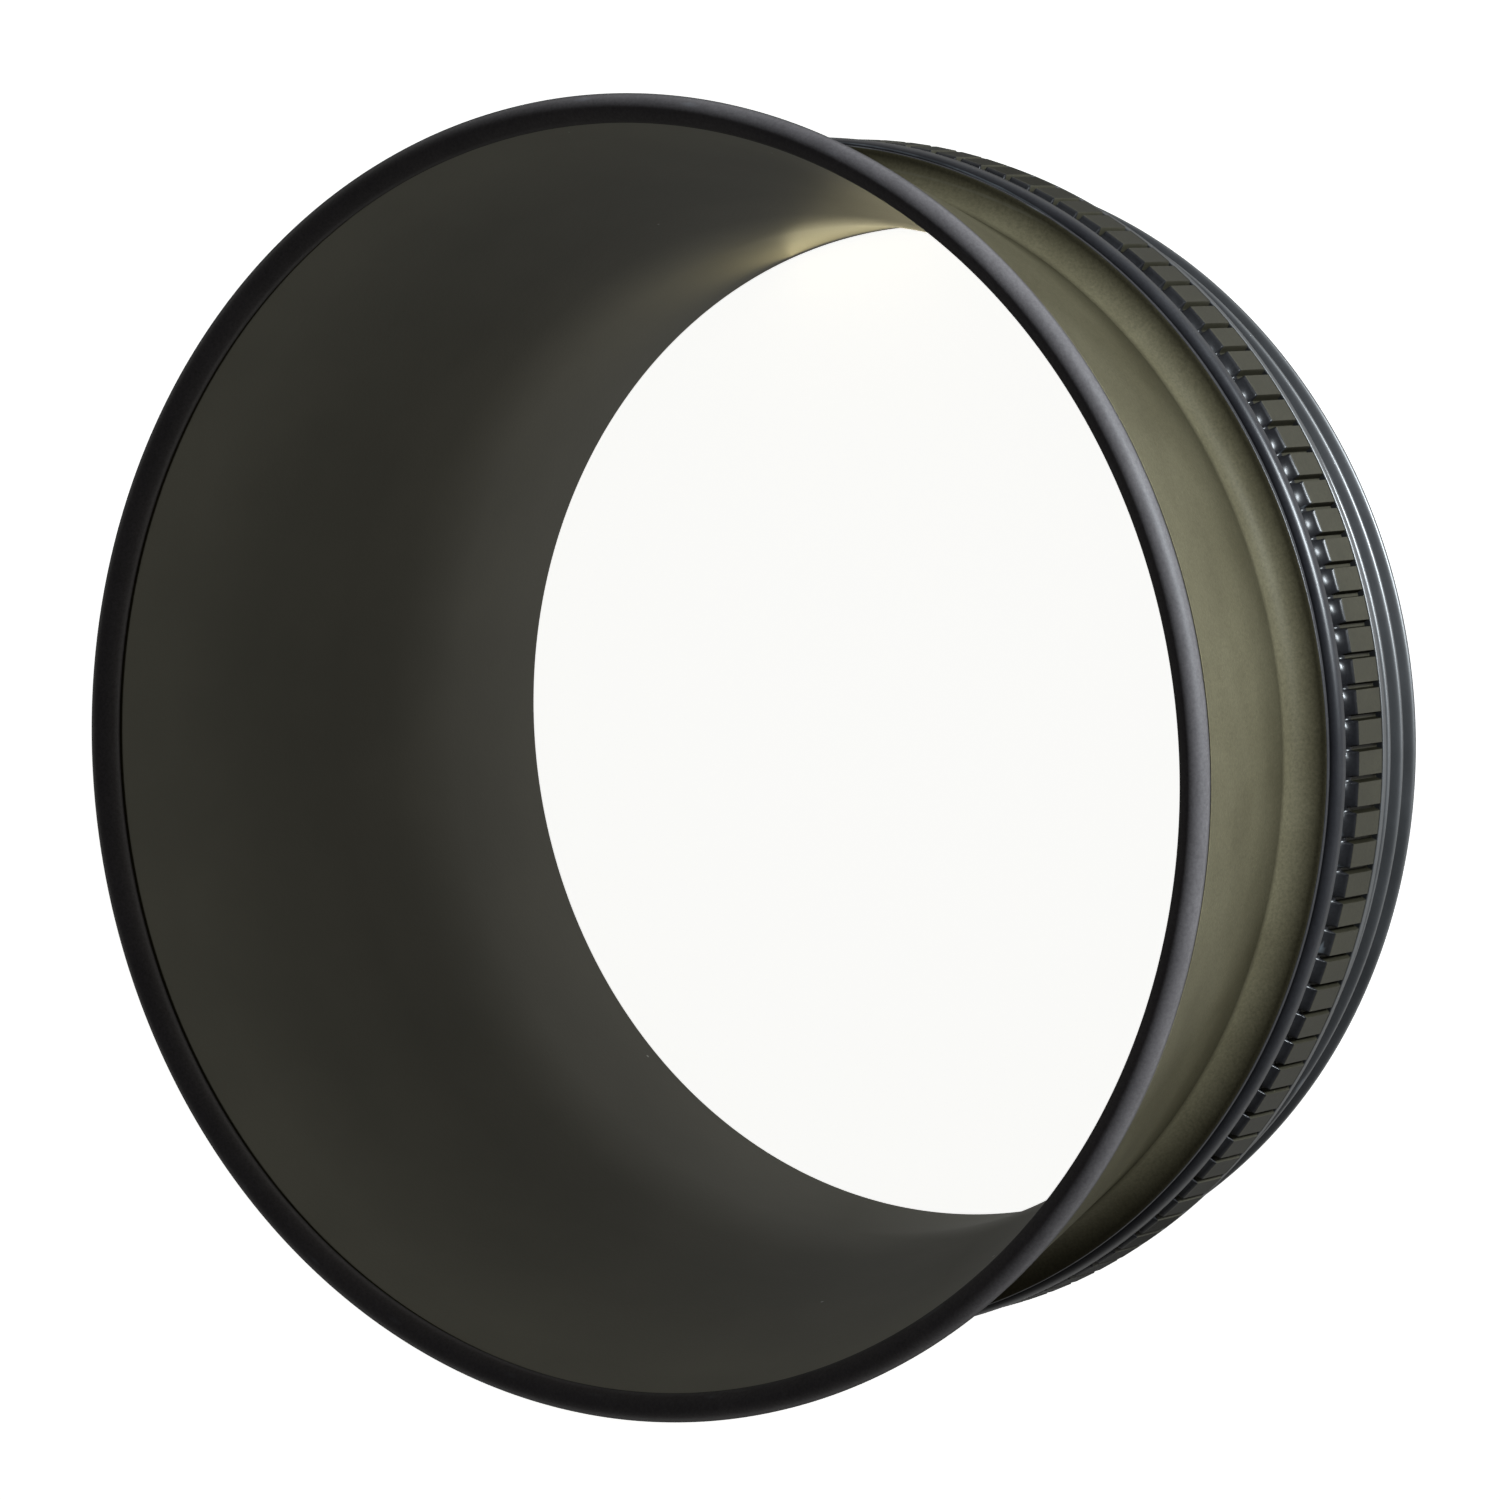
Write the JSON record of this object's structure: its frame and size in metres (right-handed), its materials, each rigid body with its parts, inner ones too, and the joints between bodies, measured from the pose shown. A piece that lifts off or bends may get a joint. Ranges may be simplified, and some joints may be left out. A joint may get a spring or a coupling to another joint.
{
  "type": "screw-in metal lens hood",
  "caption": "Round flared metal lens hood with a beaded front rim, swivelling in a knurled collar whose threaded barrel screws into a lens.",
  "frame": {"origin": "centre of the mount end's plane, where the threaded barrel stands", "axes": "+Z along the optical axis from the mount end to the front rim; X and Y are across it, and any pair serves because the part is round"},
  "size_m": [0.047, 0.047, 0.0227],
  "materials": {
    "shell_black_satin": "warm black anodised, satin outside and matte inside",
    "rim_black_gloss": "blue-black anodised, semi-gloss",
    "retainer_black_gloss": "blue-black anodised, semi-gloss",
    "grip_black_satin": "warm black anodised, satin lands with brighter tooth fronts",
    "thread_black_gloss": "blue-black anodised, glossy thread crests",
    "washer_grey": "matte dark grey"
  },
  "bodies": {
    "collar": {"mount_ring": "thread_black_gloss", "grip_ring": "grip_black_satin", "retaining_ring": "retainer_black_gloss", "friction_washer": "washer_grey"},
    "hood": {"hood_shell": "shell_black_satin", "front_rim_ring": "rim_black_gloss"}
  },
  "joints": [
    {"name": "hood_swivel", "type": "hinge", "parent": "collar", "child": "hood", "pos_m": [0, 0, 0.0087], "axis": [0, 0, 1], "continuous": true}
  ]
}
